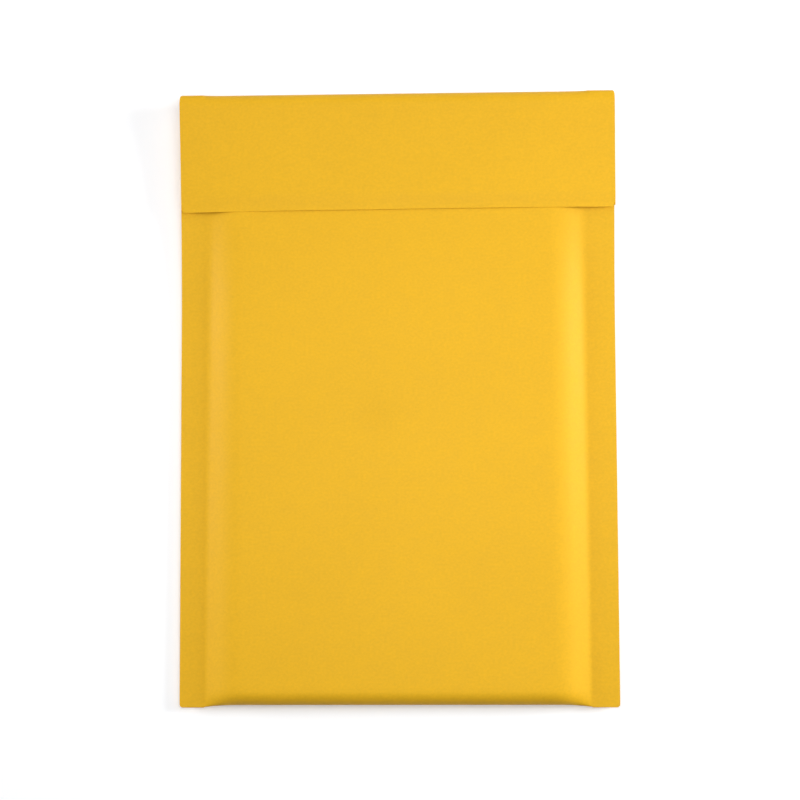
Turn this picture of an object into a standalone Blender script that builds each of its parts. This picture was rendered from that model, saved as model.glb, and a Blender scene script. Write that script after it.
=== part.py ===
"""A padded envelope of golden paper, new and empty, with its flap folded down over the front.

It lies on its back. X runs across it, +Y towards the fold of the flap and +Z out of the front.
One sheet of paper makes the back, the bottom fold, the front and the flap. Its sides are
sealed into flat seams, and a sleeve of bubble film lines the pocket between them. The flap
has an adhesive strip on its inner side, under a release liner, and isn't stuck down.

The body is a pillow. Its front slopes up from the two creases at the seams and rounds over to
a nearly level panel, and at the bottom fold front and back meet in a round roll. Columns count
across the width and rows up the length. All surfaces share them, each at its own inset from
the outside, so walls and gaps keep their thickness all the way round the curves.
"""

import math
from collections import namedtuple

import bmesh
import bpy
from mathutils import Vector

# Outline of the closed envelope, seen from the front
WIDTH = 0.200
LENGTH = 0.2812
SEAM_LEFT = 0.0108
SEAM_RIGHT = 0.0122
SEAM_CORNER = 0.0013
BOTTOM_PULL = 0.0009

# Sheet, film and the thickness of what is sealed
PAPER = 0.00025
SEAM_FILM = 0.0002
LINING = 0.0016
POCKET_HEIGHT = 0.0052
CLEARANCE = 0.0003

# Height of the seams above the table, and the run of the curves between them and the panels
SEAM_HEIGHT = 0.0030
SEAM_DROOP = 0.0008
SHOULDER = 0.0185
BACK_SHOULDER = 0.012
BOTTOM_ROLL = 0.0080
CROWN = 0.0003
MOUTH_DROP = 0.0005
MOUTH_RUN = 0.070

# The front's shoulder rounds out of its crease, slopes evenly this far, and then rounds over.
# Near the mouth it comes out of the crease more gently.
CREASE_ROUND = 0.0019
MOUTH_CREASE_ROUND = 0.0048
SLOPE_RUN = 0.0078

# The pocket's edges lie inside the lining, away from the crease and from the bottom fold
POCKET_SIDE = 0.0045
POCKET_END = 0.0024
LINING_RECESS = 0.0015

# Flap: its fold, its depth from there, how far its lower corners hang down and from how far
# in, and how far the fold runs out of square, in degrees
LIP_SETBACK = 0.0105
FOLD_DEPTH = 0.0050
FLAP_DEPTH = 0.0543
FLAP_CORNER = 0.0022
FLAP_DROOP = 0.0016
DROOP_RUN = 0.030
FOLD_SKEW = 0.20

# Closure on the flap's inner side
LINER_WIDTH = 0.0220
LINER_THICKNESS = 0.00012
LINER_MARGIN = 0.0030
ADHESIVE_WIDTH = 0.0180
ADHESIVE_THICKNESS = 0.00015
ADHESIVE_MARGIN = 0.0060
STRIP_BORDER = 0.0080

# Steps of the curves
CORNER_STEPS = 3
SHOULDER_STEPS = 9
LEVEL_STEPS = 8
ROLL_STEPS = 7
BODY_STEPS = 8
MOUTH_STEPS = 5
FOLD_STEPS = 12
FLAP_STEPS = 4
STRIP_STEPS = 4
STRIP_COLUMNS = 24
BORDER_STEPS = 5

# Columns on a shoulder crowd towards its crease by this power
SHOULDER_CROWDING = 1.4

# Sizes that follow from these
SKEW = math.radians(FOLD_SKEW)
SEAM_HALF = (2.0 * PAPER + SEAM_FILM) / 2.0
LINING_OUTSIDE = PAPER + CLEARANCE
POCKET_DEPTH = LINING_OUTSIDE + LINING
BODY_HEIGHT = 2.0 * POCKET_DEPTH + POCKET_HEIGHT
LEFT_CREASE = -WIDTH / 2.0 + SEAM_LEFT
RIGHT_CREASE = WIDTH / 2.0 - SEAM_RIGHT
LIP = LENGTH - LIP_SETBACK
STRIP_STACK = 3.0 * CLEARANCE + ADHESIVE_THICKNESS + LINER_THICKNESS

Column = namedtuple("Column", "x lean on_seam")
Row = namedtuple("Row", "v lean")


def quarter(distance, reach):
    """Height of a quarter ellipse, 1 high and reach wide, at a distance from its foot."""
    left = 1.0 - min(max(distance / reach, 0.0), 1.0)
    return math.sqrt(1.0 - left * left)


def eased(share):
    """A smooth step from 0 to 1."""
    share = min(max(share, 0.0), 1.0)
    return share * share * (3.0 - 2.0 * share)


def slope_rise(share, round_share, slope_share):
    """Height of a shoulder, 1 high and 1 wide: out of the crease, evenly up, then over."""
    share = min(max(share, 0.0), 1.0)
    whole = (slope_share - round_share + 1.0) / 2.0
    if share < round_share:
        return share * share / (2.0 * round_share) / whole
    if share < slope_share:
        return (share - round_share / 2.0) / whole
    left = (1.0 - share) / (1.0 - slope_share)
    return 1.0 - (1.0 - slope_share) / 2.0 * left * left / whole


def angles(steps):
    """Angles from 0 to a right angle."""
    return [math.pi / 2.0 * step / steps for step in range(steps + 1)]


def corner_cut(from_edge, radius):
    """How far a rounded corner of a sheet draws its end back, at a distance from its side."""
    left = max(radius - from_edge, 0.0)
    return radius - math.sqrt(radius * radius - left * left)


def half_columns(side, crease):
    """Columns from one outer edge to the inner end of the shoulder, as the inward way runs."""
    edge = side * WIDTH / 2.0
    corner = max(SEAM_CORNER, FLAP_CORNER)
    columns = [
        Column(edge - side * corner * (1.0 - math.cos(a)), 0.0, True) for a in angles(CORNER_STEPS)
    ]
    columns.append(Column(crease, 0.0, True))
    for step in range(SHOULDER_STEPS + 1):
        share = (step / SHOULDER_STEPS) ** SHOULDER_CROWDING
        columns.append(Column(crease - side * SHOULDER * share, -side * (1.0 - share), False))
    return columns


def all_columns():
    """Columns from the left edge to the right one."""
    left = half_columns(-1.0, LEFT_CREASE)
    right = half_columns(1.0, RIGHT_CREASE)
    start = left[-1].x
    end = right[-1].x
    level = [
        Column(start + (end - start) * step / LEVEL_STEPS, 0.0, False)
        for step in range(1, LEVEL_STEPS)
    ]
    return left + level + right[::-1]


def body_rows(end):
    """Rows from the bottom fold to the mouth, whose distance up the envelope is given."""
    rows = [Row(BOTTOM_ROLL * (1.0 - math.cos(a)), math.cos(a)) for a in angles(ROLL_STEPS)]
    bend = LIP - MOUTH_RUN
    for step in range(1, BODY_STEPS + 1):
        rows.append(Row(BOTTOM_ROLL + (bend - BOTTOM_ROLL) * step / BODY_STEPS, 0.0))
    for step in range(1, MOUTH_STEPS + 1):
        rows.append(Row(bend + (end - bend) * step / MOUTH_STEPS, 0.0))
    return rows


def from_crease(x):
    """Distance inwards from the nearer crease, which is negative on a seam."""
    return min(x - LEFT_CREASE, RIGHT_CREASE - x)


def from_edge(x):
    """Distance inwards from the nearer outer edge."""
    return WIDTH / 2.0 - abs(x)


def seam_height(x):
    """Height of the middle of a seam, which droops a little towards its outer edge."""
    seam = SEAM_LEFT if x < 0.0 else SEAM_RIGHT
    return SEAM_HEIGHT - SEAM_DROOP * max(-from_crease(x), 0.0) / seam


def front_top(x, v):
    """Height of the outside of the front where it runs level, lower towards the mouth."""
    crown = CROWN * (2.0 * x / WIDTH) ** 2
    return BODY_HEIGHT - crown - MOUTH_DROP * eased((v - LIP + MOUTH_RUN) / MOUTH_RUN)


def plan_y(x, v):
    """Place along Y of a distance up the envelope, with the ends of the bottom fold drawn in."""
    drawn = BOTTOM_PULL * quarter(from_crease(x), SHOULDER) + corner_cut(from_edge(x), SEAM_CORNER)
    return v - LENGTH / 2.0 + drawn * max(1.0 - v / BOTTOM_ROLL, 0.0)


def front_share(x, v, side_inset, end_inset):
    """Share of its height that the front has reached over the shoulder and the bottom roll."""
    crease = CREASE_ROUND + (MOUTH_CREASE_ROUND - CREASE_ROUND) * eased(v / LIP)
    across = (from_crease(x) - side_inset) / (SHOULDER - side_inset)
    rise = slope_rise(across, crease / SHOULDER, SLOPE_RUN / SHOULDER)
    return rise * quarter(v - end_inset, BOTTOM_ROLL - end_inset)


def back_share(x, v, inset):
    """Share of its depth that the back has reached."""
    across = quarter(from_crease(x) - inset, BACK_SHOULDER - inset)
    return across * quarter(v - inset, BOTTOM_ROLL - inset)


def front_height(x, v, inset):
    """Height of a surface inside the front, at the same inset from crease, fold and outside."""
    return SEAM_HEIGHT + (front_top(x, v) - inset - SEAM_HEIGHT) * front_share(x, v, inset, inset)


def back_height(x, v, inset):
    """Height of a surface inside the back, at the same inset from crease, fold and outside."""
    return SEAM_HEIGHT - (SEAM_HEIGHT - inset) * back_share(x, v, inset)


def inset_place(column, row, side_inset, end_inset):
    """Where a column and a row cross on a surface at an inset."""
    return column.x + column.lean * side_inset, row.v + row.lean * end_inset


def front_outside(column, row):
    foot = seam_height(column.x) + SEAM_HALF
    rise = (front_top(column.x, row.v) - foot) * front_share(column.x, row.v, 0.0, 0.0)
    return Vector((column.x, plan_y(column.x, row.v), foot + rise))


def back_outside(column, row):
    foot = seam_height(column.x) - SEAM_HALF
    drop = foot * back_share(column.x, row.v, 0.0)
    return Vector((column.x, plan_y(column.x, row.v), foot - drop))


def seam_inside(column, row):
    """Inner face of the back sheet at a seam, which comes free past the mouth."""
    return back_outside(column, row) + Vector((0.0, 0.0, PAPER))


def front_inside(column, row, inset):
    x, v = inset_place(column, row, inset, inset)
    return Vector((x, plan_y(x, v), front_height(x, v, inset)))


def back_inside(column, row, inset):
    x, v = inset_place(column, row, inset, inset)
    return Vector((x, plan_y(x, v), back_height(x, v, inset)))


def pocket_point(column, row, side):
    """The pocket's front, where side is 1, or its back: as far from the lining's middle."""
    x, v = inset_place(column, row, POCKET_SIDE, POCKET_END)
    middle = (front_height(x, v, LINING_OUTSIDE) + back_height(x, v, LINING_OUTSIDE)) / 2.0
    half = POCKET_HEIGHT / 2.0 * front_share(x, v, POCKET_SIDE, POCKET_END)
    return Vector((x, plan_y(x, v), middle + side * half))


def fold_start(x):
    """Place along Y where the back sheet starts to turn into the fold, which is out of square."""
    return LENGTH / 2.0 - FOLD_DEPTH + x * math.tan(SKEW)


def flap_length(x):
    """Length of the flap from the end of the fold's turn to its cut edge."""
    return FLAP_DEPTH - FOLD_DEPTH - x * math.tan(SKEW)


def flap_under(x, along):
    """Height of the flap's inner face: on the strip and its liner, then down to the panel.

    Beside the panel nothing carries it, and its lower corners hang down.
    """
    length = flap_length(x)
    v = LENGTH - FOLD_DEPTH - along
    down = eased((along - length + STRIP_BORDER) / STRIP_BORDER)
    lift = STRIP_STACK + (CLEARANCE - STRIP_STACK) * down
    droop = FLAP_DROOP * max(1.0 - from_edge(x) / DROOP_RUN, 0.0) ** 2 * eased(along / length)
    return front_top(0.0, min(v, LIP)) + lift - droop


def flap_point(x, along, below):
    """A point of the flap, at a distance below its inner face."""
    turned = Vector((math.sin(2.0 * SKEW), -math.cos(2.0 * SKEW)))
    y = fold_start(x) + along * turned.y
    return Vector((x + along * turned.x, y, flap_under(x, along) - below))


def flap_stations(x):
    """Distances down the flap at one column: clear part, strip, border."""
    length = flap_length(x)
    strip_start = length - STRIP_BORDER - LINER_WIDTH
    stations = [strip_start * step / FLAP_STEPS for step in range(1, FLAP_STEPS + 1)]
    stations += [strip_start + LINER_WIDTH * step / STRIP_STEPS for step in range(1, STRIP_STEPS + 1)]
    border = length - STRIP_BORDER
    stations += [border + STRIP_BORDER * step / BORDER_STEPS for step in range(1, BORDER_STEPS + 1)]
    stations[-1] -= corner_cut(from_edge(x), FLAP_CORNER)
    return stations


def sheet_line(column, last_row, inset):
    """The back sheet past the mouth along one column: level, round the fold, down the flap."""
    start = back_outside(column, last_row)
    low = start.z + inset
    high = flap_under(column.x, 0.0) + PAPER - inset
    turn_y = fold_start(column.x)
    line = [Vector((column.x, (start.y + turn_y) / 2.0, low))]
    for step in range(FOLD_STEPS + 1):
        a = math.pi * step / FOLD_STEPS
        out = (FOLD_DEPTH - inset) * math.sin(a)
        height = (low + high) / 2.0 - (high - low) / 2.0 * math.cos(a)
        line.append(Vector((column.x, turn_y + out, height)))
    line += [flap_point(column.x, along, inset - PAPER) for along in flap_stations(column.x)]
    return line


def patch(bm, lines):
    """Faces between neighbouring lines of points. Lines that meet are welded later."""
    for first, second in zip(lines, lines[1:]):
        for k in range(len(first) - 1):
            corners = [first[k], first[k + 1], second[k + 1], second[k]]
            bm.faces.new([bm.verts.new(p) for p in corners])


def finished(name, bm, paint):
    """Weld the patches into one closed body and make it a named object."""
    bmesh.ops.remove_doubles(bm, verts=bm.verts, dist=1e-6)
    bmesh.ops.recalc_face_normals(bm, faces=bm.faces)
    mesh = bpy.data.meshes.new(name)
    bm.to_mesh(mesh)
    bm.free()
    mesh.shade_smooth()
    mesh.set_sharp_from_angle(angle=math.radians(40.0))
    mesh.materials.append(paint)
    piece = bpy.data.objects.new(name, mesh)
    bpy.context.scene.collection.objects.link(piece)
    return piece


def material(name, colour, roughness):
    paint = bpy.data.materials.new(name)
    paint.use_nodes = True
    shader = paint.node_tree.nodes["Principled BSDF"]
    shader.inputs["Base Color"].default_value = (*colour, 1.0)
    shader.inputs["Roughness"].default_value = roughness
    shader.inputs["Metallic"].default_value = 0.0
    return paint


def make_paper_envelope(paint):
    """Back, bottom fold, front, seams, fold and flap: one folded sheet."""
    bm = bmesh.new()
    columns = all_columns()
    body = [c for c in columns if not c.on_seam]
    rows = body_rows(LIP)
    lip = rows[-1]
    back = [[back_outside(c, r) for r in rows] for c in columns]
    front = [[front_outside(c, r) for r in rows] for c in columns]
    inner_front = [[front_inside(c, r, PAPER) for r in rows] for c in body]
    inner_back = [[back_inside(c, r, PAPER) for r in rows] for c in body]
    outer_sheet = [sheet_line(c, lip, 0.0) for c in columns]
    inner_sheet = [sheet_line(c, lip, PAPER) for c in columns]
    inner_lip = [seam_inside(c, lip) if c.on_seam else back_inside(c, lip, PAPER) for c in columns]
    patch(bm, [a + b for a, b in zip(back, outer_sheet)])
    patch(bm, front)
    patch(bm, inner_front)
    patch(bm, inner_back)
    patch(bm, [[a] + b for a, b in zip(inner_lip, inner_sheet)])
    patch(bm, [[a[0], seam_inside(c, rows[0]), b[0]] for c, a, b in zip(columns, back, front)])
    patch(bm, [[a[-1], b[-1]] for a, b in zip(outer_sheet, inner_sheet)])
    first = columns.index(body[0])
    last = first + len(body)
    patch(bm, [[a[-1], b[-1]] for a, b in zip(front[first:last], inner_front)])
    for span in (range(first + 1), range(last - 1, len(columns))):
        patch(bm, [[front[k][-1], inner_lip[k]] for k in span])
    for k in (0, -1):
        sheet_edge = [seam_inside(columns[k], r) for r in rows]
        patch(bm, [back[k], sheet_edge, front[k]])
        patch(bm, [back[k][-1:] + outer_sheet[k], [inner_lip[k]] + inner_sheet[k]])
    return finished("paper_envelope", bm, paint)


def make_bubble_lining(paint):
    """Sleeve of bubble film between the paper and the pocket, open at the mouth."""
    bm = bmesh.new()
    body = [c for c in all_columns() if not c.on_seam]
    rows = body_rows(LIP - LINING_RECESS)
    outer_front = [[front_inside(c, r, LINING_OUTSIDE) for r in rows] for c in body]
    outer_back = [[back_inside(c, r, LINING_OUTSIDE) for r in rows] for c in body]
    inner_front = [[pocket_point(c, r, 1.0) for r in rows] for c in body]
    inner_back = [[pocket_point(c, r, -1.0) for r in rows] for c in body]
    for surface in (outer_front, outer_back, inner_front, inner_back):
        patch(bm, surface)
    patch(bm, [[a[-1], b[-1]] for a, b in zip(outer_front, inner_front)])
    patch(bm, [[a[-1], b[-1]] for a, b in zip(outer_back, inner_back)])
    return finished("bubble_lining", bm, paint)


def make_strip(name, width, thickness, margin, above, paint):
    """A strip under the flap, which follows its inner face at a distance below it."""
    bm = bmesh.new()
    half = WIDTH / 2.0 - margin
    upper = []
    lower = []
    for column in range(STRIP_COLUMNS + 1):
        x = half * (2.0 * column / STRIP_COLUMNS - 1.0)
        end = flap_length(x) - STRIP_BORDER - (LINER_WIDTH - width) / 2.0
        stations = [end - width + width * step / STRIP_STEPS for step in range(STRIP_STEPS + 1)]
        upper.append([flap_point(x, s, above) for s in stations])
        lower.append([flap_point(x, s, above + thickness) for s in stations])
    patch(bm, upper)
    patch(bm, lower)
    for k in (0, -1):
        patch(bm, [upper[k], lower[k]])
        patch(bm, [[a[k], b[k]] for a, b in zip(upper, lower)])
    return finished(name, bm, paint)


def main():
    for leftover in list(bpy.data.objects):
        bpy.data.objects.remove(leftover, do_unlink=True)
    make_paper_envelope(material("golden_paper", (0.82, 0.48, 0.035), 0.72))
    make_bubble_lining(material("clear_film", (0.80, 0.84, 0.86), 0.25))
    glue = material("adhesive", (0.86, 0.82, 0.66), 0.30)
    make_strip("adhesive_strip", ADHESIVE_WIDTH, ADHESIVE_THICKNESS, ADHESIVE_MARGIN, CLEARANCE, glue)
    below = 2.0 * CLEARANCE + ADHESIVE_THICKNESS
    backing = material("release_paper", (0.90, 0.90, 0.88), 0.45)
    make_strip("release_liner", LINER_WIDTH, LINER_THICKNESS, LINER_MARGIN, below, backing)


main()
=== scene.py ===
"""Looks of a padded mailing envelope of golden paper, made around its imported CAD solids.

The envelope lies on its back: X across it, +Y towards the fold of the flap, +Z out of the
front. One sheet of paper runs from the flap's cut edge round the fold, down the back, round
the bottom fold and up the front to the mouth. v counts up the envelope from its bottom fold,
and a station is a place along that run. Inside it lies a sleeve of bubble film, and under the
flap a tacky strip with its backing. All lengths are in metres.
"""

import math
from collections import namedtuple

import bpy
from bpy.props import FloatProperty, FloatVectorProperty, PointerProperty
from mathutils import Matrix, Vector, noise


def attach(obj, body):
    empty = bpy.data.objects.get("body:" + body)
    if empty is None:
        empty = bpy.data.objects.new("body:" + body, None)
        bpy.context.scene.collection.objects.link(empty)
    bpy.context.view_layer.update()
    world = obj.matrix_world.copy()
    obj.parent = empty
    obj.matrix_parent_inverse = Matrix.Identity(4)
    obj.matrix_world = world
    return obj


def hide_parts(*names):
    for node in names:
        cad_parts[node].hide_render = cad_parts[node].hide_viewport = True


bl_info = {
    "name": "Padded envelope",
    "version": (1, 0, 0),
    "blender": (4, 5, 0),
    "location": "3D View > Sidebar > Envelope",
    "description": "Makes the paper, the bubble film and the closure of a padded envelope",
    "category": "Add Mesh",
}

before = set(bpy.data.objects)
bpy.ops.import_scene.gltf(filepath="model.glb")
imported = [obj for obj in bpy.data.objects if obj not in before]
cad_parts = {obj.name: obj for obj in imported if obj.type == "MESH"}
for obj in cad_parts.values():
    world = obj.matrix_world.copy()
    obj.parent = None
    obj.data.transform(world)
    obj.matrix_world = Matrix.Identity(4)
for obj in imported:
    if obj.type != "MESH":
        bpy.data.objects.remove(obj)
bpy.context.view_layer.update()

BODY = "root"

# How finely the paper is modelled: stations along its run, and columns across it
FLAP_STATIONS = 40
FOLD_STATIONS = 22
TAIL_STATIONS = 3
BACK_STATIONS = 50
BACK_ROLL_STATIONS = 8
BOTTOM_STATIONS = 4
ROLL_STATIONS = 14
FRONT_STATIONS = 118
CORNER_COLUMNS = 4
SEAM_COLUMNS = 5
SHOULDER_COLUMNS = 18
LEVEL_COLUMNS = 66

# Powers that crowd the shoulder's columns to the crease and the flap's stations to its edge
SHOULDER_CROWDING = 1.15
FLAP_CROWDING = 1.1

# How finely the film is modelled: columns on a seam, on a shoulder and between the shoulders,
# and rows on the bottom roll and beyond it
FILM_COLUMNS = (2, 10, 40)
FILM_ROWS = (6, 60)
BUBBLE_SIDES = 12
STRIP_COLUMNS = 60
STRIP_ROWS = 10

# Edges that turn by more than this stay sharp in the shading, in degrees
SHARP_TURN = 40.0

# A bubble: its straight side as a share of its height, its taper, each ring's inset as a share
# of its radius with the ring's rise as a share of its height, and the last rise to its peak
BUBBLE_SIDE = 0.45
BUBBLE_TAPER = 0.96
BUBBLE_RINGS = ((0.14, 0.35), (0.34, 0.15))
BUBBLE_PEAK = 0.05

# The paper's waves: lengths across and up the envelope, and the level at which noise is read
SLOW_WAVE = (0.060, 0.045, 3.1)
FINE_WAVE = (0.021, 0.016, 7.7)
FINE_WAVE_SHARE = 0.45
FLAP_WAVE_SHARE = 0.7
FLAP_WAVE_START = 0.02

# How strongly each pattern shows in the paper's tone, how deep and pale the paper gets, how far
# its roughness varies, how much of the grain can be felt, and how much it shines
GRAIN_DEPTH = 0.85
CLOUD_DEPTH = 0.30
DRIFT_DEPTH = 0.25
SMUDGE_DEPTH = 0.16
PAPER_TINTS = (0.90, 1.10)
PAPER_SPREAD = 0.12
GRAIN_RELIEF = 0.8
PAPER_SHEEN = 0.24

# Sizes of the patterns that a user wouldn't change, and how patterns are scaled along the axes
DRIFT = 0.045
FIBRE = 0.00042
GRAIN_STRETCH = (0.8, 1.0, 1.0)
FIBRE_STRETCH = (0.55, 1.0, 1.0)
STREAK_STRETCH = (0.1, 1.0, 1.0)

# The smudge on the front: its middle, its heart and reach, and how ragged its edge is
SMUDGE_MIDDLE = (-0.0085, -0.0080, 0.0095)
SMUDGE_HEART = 0.002
SMUDGE_REACH = 0.016
SMUDGE_RAGS = 0.011
SMUDGE_RAGGEDNESS = 0.010

# The stage: the floor's size, cells and depth below the envelope, and each lamp's place and
# size, under the name of the setting that holds its power
FLOOR_SIZE = 6.0
FLOOR_CELLS = 8
FLOOR_DROP = 0.0001
FLOOR_TONES = ((0.893, 0.900, 0.915), (0.907, 0.914, 0.929))
LAMPS = {
    "overhead": ((0.03, -0.02, 0.48), (0.4, 0.4)),
    "right_box": ((0.83, 0.14, 0.26), (0.3, 0.45)),
    "left_box": ((-1.17, 0.20, 0.34), (0.4, 0.5)),
    "back_box": ((0.0, 0.95, 0.48), (1.2, 0.4)),
}

# The camera: pixels across the picture, millimetres across the sensor, and what it sees
PICTURE_WIDTH = 800.0
SENSOR_WIDTH = 36.0
NEAREST = 0.01
FARTHEST = 20.0

# A place along the paper's run: the zone that it lies in, and how far along or round that is
Station = namedtuple("Station", "zone at")


def size(name, default, description):
    return FloatProperty(
        name=name, description=description, default=default, min=0.0, unit="LENGTH", precision=5
    )


def offset(name, default, description):
    """A length that may be negative."""
    return FloatProperty(
        name=name, description=description, default=default, unit="LENGTH", precision=5
    )


def number(name, default, description):
    return FloatProperty(name=name, description=description, default=default, min=0.0)


def share(name, default, description):
    return FloatProperty(
        name=name, description=description, default=default, min=0.0, max=1.0, subtype="FACTOR"
    )


def turn(name, degrees, description):
    return FloatProperty(
        name=name, description=description, default=math.radians(degrees), unit="ROTATION"
    )


def colour(name, default, description):
    return FloatVectorProperty(
        name=name, description=description, default=default, size=3, min=0.0, max=1.0,
        subtype="COLOR",
    )


class EnvelopeSizes(bpy.types.PropertyGroup):
    """Sizes of the closed envelope: its solids' own, and the finer form of seams and flap."""

    width: size("Width", 0.200, "Across the envelope, seams included")
    length: size("Length", 0.2812, "From the bottom fold to the fold of the flap")
    seam_left: size("Left seam", 0.0108, "Width of the sealed strip on the left")
    seam_right: size("Right seam", 0.0122, "Width of the sealed strip on the right")
    seam_corner: size("Seam corner", 0.0013, "Radius of the corners at the bottom")
    seam_height: size("Seam height", 0.0030, "From the floor to the middle of a seam")
    seam_lift: size("Seam lift", 0.0054, "How much higher the seams run at the mouth")
    lift_run: size("Lift run", 0.095, "Length over which the seams rise to the mouth")
    seam_film: size("Sealed film", 0.0002, "Film between the two sheets of a seam")
    paper: size("Paper", 0.00025, "Thickness of the paper")
    body_height: size("Body height", 0.0095, "From the floor to the top of the front")
    shoulder: size("Shoulder", 0.0185, "From a crease to where the front runs level")
    back_shoulder: size("Back shoulder", 0.012, "From a crease to where the back lies flat")
    crease: size("Crease", 0.0019, "How far the shoulder rounds out of its crease")
    mouth_crease: size("Crease at the mouth", 0.0048, "The same near the flap")
    slope: size("Slope", 0.0078, "From a crease to where the shoulder starts to round over")
    roll: size("Bottom roll", 0.0080, "From the bottom fold to where the front runs level")
    pull: size("Bottom pull", 0.0009, "How far padding draws the bottom fold in")
    side_drop: size("Side drop", 0.0003, "How much lower the front runs at its sides")
    mouth_drop: size("Mouth drop", 0.0005, "How much lower the front runs at the mouth")
    mouth_run: size("Mouth run", 0.070, "Length over which the front comes down to the mouth")
    lip_setback: size("Lip setback", 0.0105, "From the fold of the flap back to the mouth")
    fold_depth: size("Fold depth", 0.0050, "How far the round of the fold reaches")
    fold_pinch: size("Fold pinch", 0.0007, "How much less far the fold reaches over the seams")
    fold_corner: size("Fold corner", 0.0009, "Radius of the fold's ends")
    fold_skew: turn("Fold skew", 0.20, "How far the fold runs out of square")
    flap_depth: size("Flap depth", 0.0543, "From the fold to the flap's cut edge")
    flap_corner: size("Flap corner", 0.0022, "Radius of the flap's corners")
    fold_spring: size("Fold spring", 0.0024, "How much the fold of the flap springs up")
    flap_droop: size("Flap droop", 0.0019, "How far the flap's lower corners hang down")
    droop_run: size("Droop run", 0.060, "How far in from its sides the flap hangs down")
    clearance: size("Clearance", 0.0003, "Space between pieces that lie on each other")
    film: size("Film", 0.00008, "Thickness of the bubble film's sheet")
    film_recess: size("Film recess", 0.0015, "From the mouth back to the film's edge")
    film_edge: size("Film edge", 0.0014, "From a crease or the bottom to where the film parts")
    film_sink: size("Film sink", 0.00035, "How far the film's edge lies below the crease")
    bubble_height: size("Bubble height", 0.0015, "How far a bubble stands off the sheet")
    bubble_width: size("Bubble width", 0.0094, "Across a bubble")
    bubble_pitch: size("Bubble pitch", 0.0110, "From one bubble to the next")
    bubble_edge: size("Bubble edge", 0.0085, "From a crease or the bottom to the first bubbles")
    strip_border: size("Strip border", 0.0080, "From the backing to the flap's cut edge")
    backing_width: size("Backing width", 0.0220, "Width of the backing strip")
    backing_thickness: size("Backing thickness", 0.00012, "Thickness of the backing strip")
    backing_margin: size("Backing margin", 0.0030, "From the flap's sides to the backing")
    tack_width: size("Tacky strip width", 0.0180, "Width of the tacky strip")
    tack_thickness: size("Tacky strip thickness", 0.00015, "Thickness of the tacky strip")
    tack_margin: size("Tacky strip margin", 0.0060, "From the flap's sides to the tacky strip")


class EnvelopeLook(bpy.types.PropertyGroup):
    """Colours and finishes that a user would change."""

    paper: colour("Paper", (0.740, 0.407, 0.0090), "Colour of the paper")
    paper_roughness: share("Paper roughness", 0.62, "How matt the paper is")
    grain: size("Grain", 0.00105, "Size of the paper's finest mottling")
    cloud: size("Cloud", 0.0055, "Size of the loose clouds in the paper")
    cockle: size("Cockle", 0.00010, "How far the paper waves")
    film: colour("Film", (0.86, 0.90, 0.92), "Colour of the bubble film")
    tack: colour("Tacky strip", (0.86, 0.82, 0.66), "Colour of the tacky strip")
    backing: colour("Backing", (0.90, 0.90, 0.88), "Colour of the backing strip")


class StudioSettings(bpy.types.PropertyGroup):
    """Camera and light, which follow the photograph's view."""

    distance: size("Camera distance", 0.620, "From the envelope's middle to the camera")
    tilt: turn("Camera tilt", 3.50, "How far the camera stands off the vertical, below")
    swing: turn("Camera swing", -1.15, "How far the camera stands off the vertical, sideways")
    roll: turn("Camera roll", 0.30, "Turn of the camera about its view")
    aim_x: offset("Aim across", -0.00085, "Envelope's middle, right of the picture's")
    aim_y: offset("Aim up", 0.00095, "Envelope's middle, above the picture's")
    pixels_per_metre: number("Scale", 2162.0, "Pixels to the metre in the picture")
    overhead: number("Overhead", 1.68, "Power of the light above")
    right_box: number("Right box", 8.8, "Power of the light on the right")
    left_box: number("Left box", 12.0, "Power of the light on the left")
    back_box: number("Back box", 1.9, "Power of the light beyond the flap")
    sky: number("Sky", 0.02, "Strength of the light from all round")
    floor_glow: number("Floor glow", 0.17, "Light that the floor gives off")


class Link:
    """A shader socket. Arithmetic on it adds the Math nodes that the expression needs."""

    def __init__(self, tree, socket):
        self.tree = tree
        self.socket = socket

    def feed(self, socket):
        self.tree.links.new(self.socket, socket)

    def math(self, operation, first, second):
        node = self.tree.nodes.new("ShaderNodeMath")
        node.operation = operation
        for socket, value in zip(node.inputs, (first, second)):
            supply(socket, value)
        return Link(self.tree, node.outputs[0])

    def __add__(self, other):
        return self.math("ADD", self, other)

    def __radd__(self, other):
        return self.math("ADD", other, self)

    def __sub__(self, other):
        return self.math("SUBTRACT", self, other)

    def __rsub__(self, other):
        return self.math("SUBTRACT", other, self)

    def __mul__(self, other):
        return self.math("MULTIPLY", self, other)

    def __rmul__(self, other):
        return self.math("MULTIPLY", other, self)


def supply(socket, value):
    """Link a socket, or give it a plain value."""
    if isinstance(value, Link):
        value.feed(socket)
    else:
        socket.default_value = value


def tint(tone, kept):
    """A colour made deeper, or paler where more than all of it is kept."""
    return tuple(min(kept * part, 1.0) for part in tone)


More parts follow.
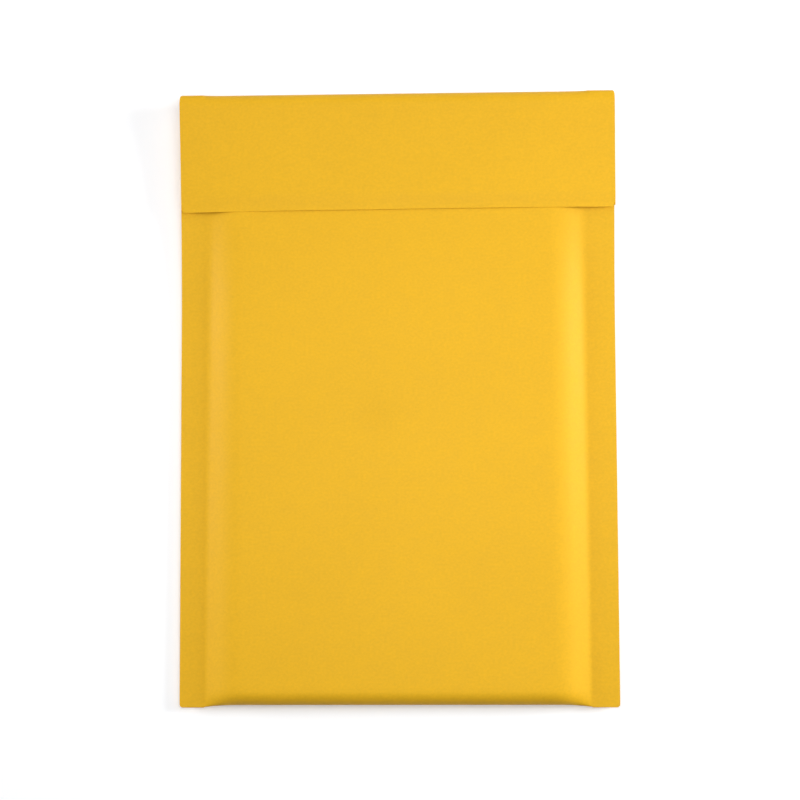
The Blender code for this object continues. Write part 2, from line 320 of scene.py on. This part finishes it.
class Paint:
    """A material and the nodes that make it."""

    def __init__(self, name, roughness):
        self.material = bpy.data.materials.new(name)
        self.material.use_nodes = True
        self.tree = self.material.node_tree
        self.shader = self.tree.nodes["Principled BSDF"]
        self.shader.inputs["Roughness"].default_value = roughness

    def node(self, kind, settings=None, sockets=None, out=0):
        """Add a node of a kind with its settings, then the values or links of its sockets."""
        node = self.tree.nodes.new(kind)
        for key, value in (settings or {}).items():
            setattr(node, key, value)
        for key, value in (sockets or {}).items():
            supply(next(s for s in node.inputs if key in (s.identifier, s.name)), value)
        return Link(self.tree, node.outputs[out])

    def noise(self, place, feature, detail=2.0):
        """Smooth noise round 0.5, with features of a size."""
        sockets = {"Vector": place, "Scale": 1.0 / feature, "Detail": detail}
        return self.node("ShaderNodeTexNoise", {"noise_dimensions": "3D"}, sockets)

    def blend(self, factor, first, second):
        """A colour between two, by a factor."""
        sockets = {"Factor_Float": factor, "A_Color": (*first, 1.0), "B_Color": (*second, 1.0)}
        mix = self.node("ShaderNodeMix", {"data_type": "RGBA"}, sockets).socket.node
        result = next(s for s in mix.outputs if s.identifier == "Result_Color")
        return Link(self.tree, result)

    def place(self, stretch=(1.0, 1.0, 1.0)):
        """Object coordinates, in metres, stretched along the axes."""
        where = self.node("ShaderNodeTexCoord", out=3)
        return self.node("ShaderNodeMapping", {}, {"Vector": where, "Scale": stretch})

    def set(self, name, value):
        supply(self.shader.inputs[name], value)

    def mottle(self, pattern, tone, deep, smoothest, spread):
        """Vary the colour and the roughness with a pattern: deep and smooth where it is low."""
        self.set("Base Color", self.blend(pattern, tint(tone, deep), tone))
        self.set("Roughness", smoothest + spread * pattern)

    def bump(self, height, distance, strength):
        sockets = {"Height": height, "Distance": distance, "Strength": strength}
        self.set("Normal", self.node("ShaderNodeBump", {}, sockets))


def paper_paint(look):
    """Golden paper: fine mottling, loose clouds, a slow drift and a smudge near the middle."""
    paint = Paint("golden paper", look.paper_roughness)
    place = paint.place(GRAIN_STRETCH)
    grain = paint.noise(place, look.grain, detail=1.5)
    cloud = paint.noise(place, look.cloud)
    drift = paint.noise(place, DRIFT, detail=1.0)
    tone = (
        0.5 + GRAIN_DEPTH * (grain - 0.5) + CLOUD_DEPTH * (cloud - 0.5)
        + DRIFT_DEPTH * (drift - 0.5) - SMUDGE_DEPTH * smudge_mask(paint)
    )
    deep, pale = (tint(look.paper, kept) for kept in PAPER_TINTS)
    paint.set("Base Color", paint.blend(tone, deep, pale))
    paint.set("Roughness", look.paper_roughness + PAPER_SPREAD * (cloud - 0.5))
    fibre = paint.noise(paint.place(FIBRE_STRETCH), FIBRE)
    paint.bump(fibre + GRAIN_RELIEF * grain, distance=0.00006, strength=0.35)
    paint.set("Specular IOR Level", PAPER_SHEEN)
    return paint.material


def smudge_mask(paint):
    """A faint uneven patch a little below the front's middle, 1 at its heart and 0 outside."""
    where = paint.node("ShaderNodeTexCoord", out=3)
    away = paint.node(
        "ShaderNodeVectorMath", {"operation": "DISTANCE"},
        {"Vector": where, "Vector_001": SMUDGE_MIDDLE}, out=1,
    )
    away += SMUDGE_RAGGEDNESS * (paint.noise(where, SMUDGE_RAGS) - 0.5)
    return paint.node(
        "ShaderNodeMapRange", {"interpolation_type": "SMOOTHSTEP"},
        {"Value": away, "From Min": SMUDGE_REACH, "From Max": SMUDGE_HEART},
    )


def film_paint(look):
    """Clear film, a little cloudy, with a soft gloss."""
    paint = Paint("clear film", 0.22)
    haze = paint.noise(paint.place(), 0.004)
    paint.mottle(haze, look.film, deep=0.93, smoothest=0.16, spread=0.14)
    paint.set("Alpha", 0.45 + 0.20 * haze)
    paint.bump(paint.noise(paint.place(), 0.0018), distance=0.0001, strength=0.2)
    paint.set("IOR", 1.49)
    return paint.material


def tack_paint(look):
    """Tacky strip: pale, glossy and faintly streaked along its length."""
    paint = Paint("adhesive", 0.30)
    streak = paint.noise(paint.place(STREAK_STRETCH), 0.0012)
    paint.mottle(streak, look.tack, deep=0.94, smoothest=0.24, spread=0.16)
    paint.bump(streak, distance=0.00005, strength=0.3)
    return paint.material


def backing_paint(look):
    """Backing strip: white coated paper with a fine tooth."""
    paint = Paint("release paper", 0.45)
    tooth = paint.noise(paint.place(), 0.0009)
    paint.mottle(tooth, look.backing, deep=0.96, smoothest=0.40, spread=0.10)
    paint.bump(tooth, distance=0.00004, strength=0.3)
    return paint.material


def floor_paint(glow):
    """A plain white floor that gives off a little light, with a trace of mottling."""
    paint = Paint("white floor", 0.9)
    paint.set("Base Color", paint.blend(paint.noise(paint.place(), 0.08), *FLOOR_TONES))
    paint.set("Specular IOR Level", 0.0)
    paint.set("Emission Color", (1.0, 1.0, 1.0, 1.0))
    paint.set("Emission Strength", glow)
    return paint.material


def quarter(distance, reach):
    """Height of a quarter ellipse, 1 high and reach wide, at a distance from its foot."""
    left = 1.0 - min(max(distance / reach, 0.0), 1.0)
    return math.sqrt(1.0 - left * left)


def eased(part):
    """A smooth step from 0 to 1."""
    part = min(max(part, 0.0), 1.0)
    return part * part * (3.0 - 2.0 * part)


def slope_rise(part, crease, slope):
    """Height of a shoulder: round out of the crease, evenly up to the slope's end, and over."""
    part = min(max(part, 0.0), 1.0)
    whole = slope - crease / 2.0 + (1.0 - slope) / 2.0
    if part < crease:
        return part * part / (2.0 * crease) / whole
    if part < slope:
        return (part - crease / 2.0) / whole
    left = (1.0 - part) / (1.0 - slope)
    return 1.0 - (1.0 - slope) / 2.0 * left * left / whole


def corner_cut(from_edge, radius):
    """How far a rounded corner of a sheet draws its end back, at a distance from its side."""
    left = max(radius - from_edge, 0.0)
    return radius - math.sqrt(radius * radius - left * left)


class Form:
    """Places on the envelope's surfaces, worked out from its sizes."""

    def __init__(self, sizes, look):
        self.sizes = sizes
        self.look = look
        self.half = sizes.width / 2.0
        self.left = -self.half + sizes.seam_left
        self.right = self.half - sizes.seam_right
        self.lip = sizes.length - sizes.lip_setback
        self.seam_half = sizes.paper + sizes.seam_film / 2.0

    def from_crease(self, x):
        """Distance inwards from the nearer crease, which is negative on a seam."""
        return min(x - self.left, self.right - x)

    def seam(self, v):
        """Height of the middle of a seam."""
        sizes = self.sizes
        return sizes.seam_height + sizes.seam_lift * eased((v - self.lip) / sizes.lift_run + 1.0)

    def top(self, x, v):
        """Height of the outside of the front where it runs level."""
        sizes = self.sizes
        side_drop = sizes.side_drop * (x / self.half) ** 2
        mouth_drop = sizes.mouth_drop * eased((v - self.lip) / sizes.mouth_run + 1.0)
        return sizes.body_height - side_drop - mouth_drop

    def shoulder_share(self, x, v, inset=0.0):
        """Share of the front's height that the shoulder has reached."""
        sizes = self.sizes
        crease = sizes.crease + (sizes.mouth_crease - sizes.crease) * eased(v / self.lip)
        part = (self.from_crease(x) - inset) / (sizes.shoulder - inset)
        return slope_rise(part, crease / sizes.shoulder, sizes.slope / sizes.shoulder)

    def plan_y(self, x, v):
        """Place along Y, with the ends of the bottom fold drawn in."""
        sizes = self.sizes
        drawn = sizes.pull * quarter(self.from_crease(x), sizes.shoulder)
        drawn += corner_cut(self.half - abs(x), sizes.seam_corner)
        return v - sizes.length / 2.0 + drawn * max(1.0 - v / sizes.roll, 0.0)

    def wave(self, x, y, grow=1.0):
        """Cockle of the paper: a slow wave and a finer one."""
        slow, fine = (
            noise.noise(Vector((x / across, y / along, level)))
            for across, along, level in (SLOW_WAVE, FINE_WAVE)
        )
        return self.look.cockle * grow * (slow + FINE_WAVE_SHARE * fine)

    def front(self, x, v):
        """A point of the front's outer face."""
        y = self.plan_y(x, v)
        reached = self.shoulder_share(x, v) * quarter(v, self.sizes.roll)
        foot = self.seam(v) + self.seam_half
        height = foot + (self.top(x, v) - foot) * reached
        return Vector((x, y, height + self.wave(x, y) * reached))

    def back(self, x, v):
        """A point of the back's outer face."""
        across = quarter(self.from_crease(x), self.sizes.back_shoulder)
        reached = across * quarter(v, self.sizes.roll)
        foot = self.seam(v) - self.seam_half
        return Vector((x, self.plan_y(x, v), foot * (1.0 - reached)))

    def fold_y(self, x):
        """Place along Y where the back sheet starts to turn into the fold."""
        return self.sizes.length / 2.0 - self.sizes.fold_depth + x * math.tan(self.sizes.fold_skew)

    def flap_length(self, x):
        """From the end of the fold's turn to the flap's cut edge."""
        return self.sizes.flap_depth - self.sizes.fold_depth - x * math.tan(self.sizes.fold_skew)

    def strip_stack(self):
        """Room for the two strips between the flap and the front."""
        sizes = self.sizes
        return 3.0 * sizes.clearance + sizes.tack_thickness + sizes.backing_thickness

    def flap_under(self, x, along):
        """Height of the flap's inner face, over the strips and then down to the front."""
        sizes = self.sizes
        length = self.flap_length(x)
        v = min(sizes.length - sizes.fold_depth - along, self.lip)
        down = eased((along - length) / sizes.strip_border + 1.0)
        lift = self.strip_stack() + (sizes.clearance - self.strip_stack()) * down
        out = max(1.0 - (self.half - abs(x)) / sizes.droop_run, 0.0)
        droop = sizes.flap_droop * out * out * eased(along / length)
        spring = sizes.fold_spring * (1.0 - min(along / length, 1.0)) ** 2
        return self.top(0.0, v) + lift + spring - droop

    def flap(self, x, along, below):
        """A point of the flap, at a distance below its inner face."""
        twice = 2.0 * self.sizes.fold_skew
        y = self.fold_y(x) - along * math.cos(twice)
        lift = self.wave(x, y, FLAP_WAVE_SHARE) * eased(along / FLAP_WAVE_START)
        return Vector((x + along * math.sin(twice), y, self.flap_under(x, along) + lift - below))

    def fold(self, x, angle):
        """A point round the fold, from the back at 0 to the flap at half a turn. Over the
        seams, where it is tight, it reaches less far."""
        low = self.back(x, self.lip).z
        high = self.flap_under(x, 0.0) + self.sizes.paper
        tight = 1.0 - (high - low) / self.sizes.body_height
        depth = self.sizes.fold_depth - self.sizes.fold_pinch * tight
        depth -= corner_cut(self.half - abs(x), self.sizes.fold_corner)
        y = self.fold_y(x) + depth * math.sin(angle)
        return Vector((x, y, (low + high) / 2.0 - (high - low) / 2.0 * math.cos(angle)))

    def bottom(self, x, angle):
        """A point round the bottom fold, from the back at 0 to the front at half a turn."""
        low = self.back(x, 0.0)
        high = self.front(x, 0.0)
        out = self.seam_half * (1.0 - self.shoulder_share(x, 0.0)) * math.sin(angle)
        part = (1.0 - math.cos(angle)) / 2.0
        return low.lerp(high, part) - Vector((0.0, out, 0.0))

    def film(self, x, station, depth=0.0):
        """A point of the film's outer face, or at a depth within. The two layers of the film
        part inside the seams and the bottom fold, where their edges lie below the creases."""
        sizes = self.sizes
        side, v = station
        inset = sizes.paper + sizes.clearance + depth
        edge = sizes.film_edge
        parted = quarter(self.from_crease(x) - edge, edge)
        foot = self.seam(v) - sizes.film_sink * eased(self.from_crease(x) / edge)
        ended = quarter(v - edge, sizes.roll - edge)
        if side == "front":
            rise = self.top(x, v) - inset - foot
            height = foot + rise * self.shoulder_share(x, v, edge) * ended
        else:
            across = quarter(self.from_crease(x) - edge, sizes.back_shoulder - edge)
            height = foot - (foot - inset) * across * ended
        apart = (sizes.seam_film / 2.0 - depth) * (1.0 - parted * ended)
        return Vector((x, self.plan_y(x, v), height + (apart if side == "front" else -apart)))

    def bubble(self, x, station, height):
        """A point of a bubble, at a height off the film's inner face. The face's slope is
        measured over a short reach."""
        reach = 0.0004
        side, v = station
        foot = self.film(x, station, self.sizes.film)
        across = self.film(x + reach, station, self.sizes.film) - foot
        along = self.film(x, (side, v + reach), self.sizes.film) - foot
        inwards = along.cross(across) if side == "front" else across.cross(along)
        return foot + inwards.normalized() * height

    def flap_station(self, x, along_share):
        """Distance down the flap of a station, with its corners rounded off."""
        along = self.flap_length(x) * along_share
        if along_share == 1.0:
            along -= corner_cut(self.half - abs(x), self.sizes.flap_corner)
        return along

    def sheet(self, x, station):
        """A point of the paper's outer face at a column and a station."""
        zone, at = station
        if zone == "flap":
            return self.flap(x, self.flap_station(x, at), -self.sizes.paper)
        if zone == "fold":
            return self.fold(x, at)
        if zone == "tail":
            start = self.back(x, self.lip)
            return Vector((x, start.y + (self.fold_y(x) - start.y) * at, start.z))
        if zone == "back":
            return self.back(x, at)
        if zone == "bottom":
            return self.bottom(x, at)
        return self.front(x, at)


def steps(start, end, count, first=0, last=1):
    """Evenly spaced values. first=1 leaves out the start, and last=0 leaves out the end."""
    return [start + (end - start) * k / count for k in range(first, count + last)]


def half_columns(form, side, crease):
    """Columns from an outer edge to the inner end of its shoulder."""
    sizes = form.sizes
    edge = side * form.half
    corner = max(sizes.seam_corner, sizes.flap_corner)
    quarter_turn = steps(0.0, math.pi / 2.0, CORNER_COLUMNS)
    columns = [edge - side * corner * (1.0 - math.cos(a)) for a in quarter_turn]
    columns += steps(columns[-1], crease, SEAM_COLUMNS, first=1)
    shares = steps(0.0, 1.0, SHOULDER_COLUMNS, first=1)
    return columns + [crease - side * sizes.shoulder * part ** SHOULDER_CROWDING for part in shares]


def sheet_columns(form):
    """Columns across the paper, crowded on the seams' edges and the shoulders."""
    left = half_columns(form, -1.0, form.left)
    right = half_columns(form, 1.0, form.right)
    return left + steps(left[-1], right[-1], LEVEL_COLUMNS, first=1, last=0) + right[::-1]


def sheet_stations(form):
    """Stations along the paper's run, from the flap's cut edge to the mouth."""
    sizes = form.sizes
    flap = [1.0 - part ** FLAP_CROWDING for part in steps(0.0, 1.0, FLAP_STATIONS, last=0)]
    back_roll, front_roll = (
        [sizes.roll * (1.0 - math.cos(a)) for a in steps(0.0, math.pi / 2.0, count)]
        for count in (BACK_ROLL_STATIONS, ROLL_STATIONS)
    )
    plan = (
        ("flap", flap),
        ("fold", steps(math.pi, 0.0, FOLD_STATIONS)),
        ("tail", steps(1.0, 0.0, TAIL_STATIONS, first=1, last=0)),
        ("back", steps(form.lip, sizes.roll, BACK_STATIONS)),
        ("back", back_roll[-2::-1]),
        ("bottom", steps(0.0, math.pi, BOTTOM_STATIONS, first=1, last=0)),
        ("front", front_roll),
        ("front", steps(sizes.roll, form.lip, FRONT_STATIONS, first=1)),
    )
    return [Station(zone, at) for zone, values in plan for at in values]


def film_columns(form):
    """Columns across the film, whose sides end in the seams."""
    seam, shoulder, level = FILM_COLUMNS
    sizes = form.sizes
    left, right = (
        steps(side * (form.half - sizes.seam_corner), crease, seam)
        + steps(crease, crease - side * sizes.shoulder, shoulder, first=1)
        for side, crease in ((-1.0, form.left), (1.0, form.right))
    )
    return left + steps(left[-1], right[-1], level, first=1, last=0) + right[::-1]


def film_stations(form):
    """Stations along the film, from its back edge down to the bottom and up to its front edge."""
    rolled, straight = FILM_ROWS
    sizes = form.sizes
    start = sizes.film_edge
    end = form.lip - sizes.film_recess
    angles = steps(0.0, math.pi / 2.0, rolled)
    rows = [start + (sizes.roll - start) * (1.0 - math.cos(a)) for a in angles]
    rows += steps(sizes.roll, end, straight, first=1)
    return [("back", v) for v in rows[::-1]] + [("front", v) for v in rows]


def select_only(piece):
    bpy.ops.object.select_all(action="DESELECT")
    piece.select_set(True)
    bpy.context.view_layer.objects.active = piece


def add_grid(name, columns, rows, place):
    """A grid whose point at column i and row j goes to place(columns[i], rows[j])."""
    bpy.ops.object.select_all(action="DESELECT")
    bpy.ops.mesh.primitive_grid_add(
        x_subdivisions=len(columns) - 1, y_subdivisions=len(rows) - 1, size=2.0
    )
    piece = bpy.context.active_object
    piece.name = name
    piece.data.name = name
    for point in piece.data.vertices:
        column = columns[round((point.co.x + 1.0) / 2.0 * (len(columns) - 1))]
        row = rows[round((point.co.y + 1.0) / 2.0 * (len(rows) - 1))]
        point.co = place(column, row)
    return piece


def add_wall(piece, thickness):
    """Give a sheet its thickness, inwards from the face that it has."""
    select_only(piece)
    bpy.ops.object.modifier_add(type="SOLIDIFY")
    wall = piece.modifiers[-1]
    wall.thickness = thickness
    wall.offset = -1.0
    wall.use_even_offset = False
    bpy.ops.object.modifier_apply(modifier=wall.name)


def finish_piece(piece, paint, node):
    """Shade a piece, paint it and tie it to the frame."""
    select_only(piece)
    bpy.ops.object.shade_smooth_by_angle(angle=math.radians(SHARP_TURN))
    piece.data.materials.clear()
    piece.data.materials.append(paint)
    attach(piece, BODY)
    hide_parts(node)


def edit_faces(piece, chosen):
    """Go into edit mode with only the chosen faces selected."""
    bpy.ops.object.mode_set(mode="EDIT")
    bpy.ops.mesh.select_mode(type="FACE")
    bpy.ops.mesh.select_all(action="DESELECT")
    bpy.ops.object.mode_set(mode="OBJECT")
    for face in piece.data.polygons:
        face.select = chosen(face)
    bpy.ops.object.mode_set(mode="EDIT")


def add_bubble(sizes):
    """One bubble with its foot at the origin: straight sides, a round shoulder, a low dome."""
    bpy.ops.object.select_all(action="DESELECT")
    radius = sizes.bubble_width / 2.0
    side = BUBBLE_SIDE * sizes.bubble_height
    bpy.ops.mesh.primitive_cone_add(
        vertices=BUBBLE_SIDES, radius1=radius, radius2=BUBBLE_TAPER * radius, depth=side,
        end_fill_type="NGON", location=(0.0, 0.0, side / 2.0)
    )
    bubble = bpy.context.active_object
    bpy.ops.object.transform_apply()
    edit_faces(bubble, lambda face: face.normal.z > 0.9)
    for inset, rise in BUBBLE_RINGS:
        bpy.ops.mesh.inset(thickness=inset * radius, depth=rise * sizes.bubble_height)
    bpy.ops.mesh.poke(offset=BUBBLE_PEAK * sizes.bubble_height)
    bpy.ops.object.mode_set(mode="OBJECT")
    return bubble


def add_bubble_field(form, side):
    """Bubbles in staggered rows, arrayed flat and then laid on one layer of the film."""
    sizes = form.sizes
    pitch = sizes.bubble_pitch
    row_gap = pitch * math.sqrt(3.0)
    low = form.left + sizes.bubble_edge + sizes.bubble_width / 2.0
    high = form.right - sizes.bubble_edge - sizes.bubble_width / 2.0
    middle = (low + high) / 2.0
    across = int((high - low) / pitch) + 1
    start = sizes.bubble_edge + sizes.bubble_width / 2.0
    end = form.lip - sizes.film_recess - sizes.bubble_width
    bubbles = []
    for odd in (0, 1):
        bubble = add_bubble(sizes)
        first_x = middle - (across - 1 - odd) * pitch / 2.0
        first_v = start + odd * row_gap / 2.0
        bubble.data.transform(Matrix.Translation((first_x, first_v, 0.0)))
        rows = int((end - first_v) / row_gap) + 1
        for count, step in ((across - odd, (pitch, 0.0, 0.0)), (rows, (0.0, row_gap, 0.0))):
            bpy.ops.object.modifier_add(type="ARRAY")
            copies = bubble.modifiers[-1]
            copies.count = count
            copies.use_relative_offset = False
            copies.use_constant_offset = True
            copies.constant_offset_displace = step
            bpy.ops.object.modifier_apply(modifier=copies.name)
        for point in bubble.data.vertices:
            x, v, height = point.co
            point.co = form.bubble(x, (side, v), height)
        if side == "front":
            bubble.data.flip_normals()
        bubbles.append(bubble)
    return bubbles


def join(pieces):
    """Join pieces into the first one."""
    select_only(pieces[0])
    for piece in pieces:
        piece.select_set(True)
    bpy.ops.object.join()
    return pieces[0]


def current_form():
    scene = bpy.context.scene
    return Form(scene.envelope_sizes, scene.envelope_look)


class ENVELOPE_OT_paper(bpy.types.Operator):
    """Make the folded and sealed sheet of paper"""

    bl_idname = "envelope.paper"
    bl_label = "Paper"

    def execute(self, context):
        form = current_form()
        piece = add_grid("envelope_paper", sheet_columns(form), sheet_stations(form), form.sheet)
        add_wall(piece, form.sizes.paper)
        finish_piece(piece, paper_paint(form.look), "paper_envelope")
        return {"FINISHED"}


class ENVELOPE_OT_film(bpy.types.Operator):
    """Make the sleeve of bubble film that lines the pocket"""

    bl_idname = "envelope.film"
    bl_label = "Bubble film"

    def execute(self, context):
        form = current_form()
        sheet = add_grid("bubble_film", film_columns(form), film_stations(form), form.film)
        add_wall(sheet, form.sizes.film)
        fields = add_bubble_field(form, "front") + add_bubble_field(form, "back")
        piece = join([sheet] + fields)
        finish_piece(piece, film_paint(form.look), "bubble_lining")
        return {"FINISHED"}


def add_strip(form, name, width, thickness, margin, below):
    """A strip that follows the flap's inner face at a distance below it."""
    columns = steps(-form.half + margin, form.half - margin, STRIP_COLUMNS)
    centre = (form.sizes.backing_width - width) / 2.0
    offsets = steps(width, 0.0, STRIP_ROWS)

    def place(x, offset):
        end = form.flap_length(x) - form.sizes.strip_border - centre
        return form.flap(x, end - offset, below)

    piece = add_grid(name, columns, offsets[::-1], place)
    add_wall(piece, thickness)
    return piece


class ENVELOPE_OT_closure(bpy.types.Operator):
    """Make the tacky strip under the flap and the backing over it"""

    bl_idname = "envelope.closure"
    bl_label = "Closure"

    def execute(self, context):
        form = current_form()
        sizes = form.sizes
        tack = add_strip(
            form, "tacky_strip", sizes.tack_width, sizes.tack_thickness,
            margin=sizes.tack_margin, below=sizes.clearance,
        )
        finish_piece(tack, tack_paint(form.look), "adhesive_strip")
        backing = add_strip(
            form, "backing_strip", sizes.backing_width, sizes.backing_thickness,
            margin=sizes.backing_margin, below=2.0 * sizes.clearance + sizes.tack_thickness,
        )
        finish_piece(backing, backing_paint(form.look), "release_liner")
        return {"FINISHED"}


class ENVELOPE_OT_studio(bpy.types.Operator):
    """Make the white floor, the soft lights and the camera"""

    bl_idname = "envelope.studio"
    bl_label = "Studio"

    def execute(self, context):
        studio = context.scene.envelope_studio
        self.add_floor(studio.floor_glow)
        for name, (place, extent) in LAMPS.items():
            self.add_light(name.replace("_", " "), place, extent, getattr(studio, name))
        self.set_world(studio.sky)
        self.add_camera(studio)
        context.scene.view_settings.view_transform = "Standard"
        return {"FINISHED"}

    def add_floor(self, glow):
        bpy.ops.object.select_all(action="DESELECT")
        bpy.ops.mesh.primitive_grid_add(
            x_subdivisions=FLOOR_CELLS, y_subdivisions=FLOOR_CELLS, size=FLOOR_SIZE
        )
        floor = bpy.context.active_object
        floor.name = "floor"
        floor.data.transform(Matrix.Translation((0.0, 0.0, -FLOOR_DROP)))
        floor.data.materials.append(floor_paint(glow))

    def add_light(self, name, place, extent, power):
        """A soft light that faces the envelope and that no camera sees."""
        light = bpy.data.lights.new(name, "AREA")
        light.shape = "RECTANGLE"
        light.size, light.size_y = extent
        light.energy = power
        lamp = bpy.data.objects.new(name, light)
        lamp.visible_camera = False
        lamp.location = place
        lamp.rotation_euler = (-Vector(place)).to_track_quat("-Z", "Y").to_euler()
        bpy.context.scene.collection.objects.link(lamp)

    def set_world(self, strength):
        world = bpy.data.worlds.new("soft white room")
        world.use_nodes = True
        backdrop = world.node_tree.nodes["Background"]
        backdrop.inputs["Color"].default_value = (1.0, 1.0, 1.0, 1.0)
        backdrop.inputs["Strength"].default_value = strength
        bpy.context.scene.world = world

    def add_camera(self, studio):
        """A camera whose picture has the envelope's middle at the aim, at the given scale."""
        camera = bpy.data.cameras.new("camera")
        camera.sensor_width = SENSOR_WIDTH
        camera.lens = studio.pixels_per_metre * studio.distance / PICTURE_WIDTH * SENSOR_WIDTH
        camera.clip_start = NEAREST
        camera.clip_end = FARTHEST
        swing = Matrix.Rotation(studio.swing, 3, "Y")
        tilt = Matrix.Rotation(-studio.tilt, 3, "X")
        roll = Matrix.Rotation(-studio.roll, 3, "Z")
        to_world = (swing @ tilt).transposed()
        stand = to_world @ Vector((-studio.aim_x, -studio.aim_y, studio.distance))
        lens = bpy.data.objects.new("camera", camera)
        lens.matrix_world = Matrix.Translation(stand) @ (to_world @ roll).to_4x4()
        bpy.context.scene.collection.objects.link(lens)
        bpy.context.scene.camera = lens


class ENVELOPE_PT_sidebar(bpy.types.Panel):
    """Lists the steps and the sizes in the 3D view's sidebar"""

    bl_label = "Padded envelope"
    bl_idname = "ENVELOPE_PT_sidebar"
    bl_space_type = "VIEW_3D"
    bl_region_type = "UI"
    bl_category = "Envelope"

    def draw(self, context):
        for step in STEPS:
            self.layout.operator(step.bl_idname)
        for group in ("envelope_sizes", "envelope_look", "envelope_studio"):
            settings = getattr(context.scene, group)
            box = self.layout.box()
            for name in settings.__annotations__:
                box.prop(settings, name)


STEPS = (ENVELOPE_OT_paper, ENVELOPE_OT_film, ENVELOPE_OT_closure, ENVELOPE_OT_studio)
CLASSES = (EnvelopeSizes, EnvelopeLook, StudioSettings, *STEPS, ENVELOPE_PT_sidebar)


def register():
    for item in CLASSES:
        bpy.utils.register_class(item)
    bpy.types.Scene.envelope_sizes = PointerProperty(type=EnvelopeSizes)
    bpy.types.Scene.envelope_look = PointerProperty(type=EnvelopeLook)
    bpy.types.Scene.envelope_studio = PointerProperty(type=StudioSettings)


def unregister():
    del bpy.types.Scene.envelope_studio
    del bpy.types.Scene.envelope_look
    del bpy.types.Scene.envelope_sizes
    for item in reversed(CLASSES):
        bpy.utils.unregister_class(item)


def main():
    register()
    bpy.ops.envelope.paper()
    bpy.ops.envelope.film()
    bpy.ops.envelope.closure()
    bpy.ops.envelope.studio()


if __name__ == "__main__":
    main()
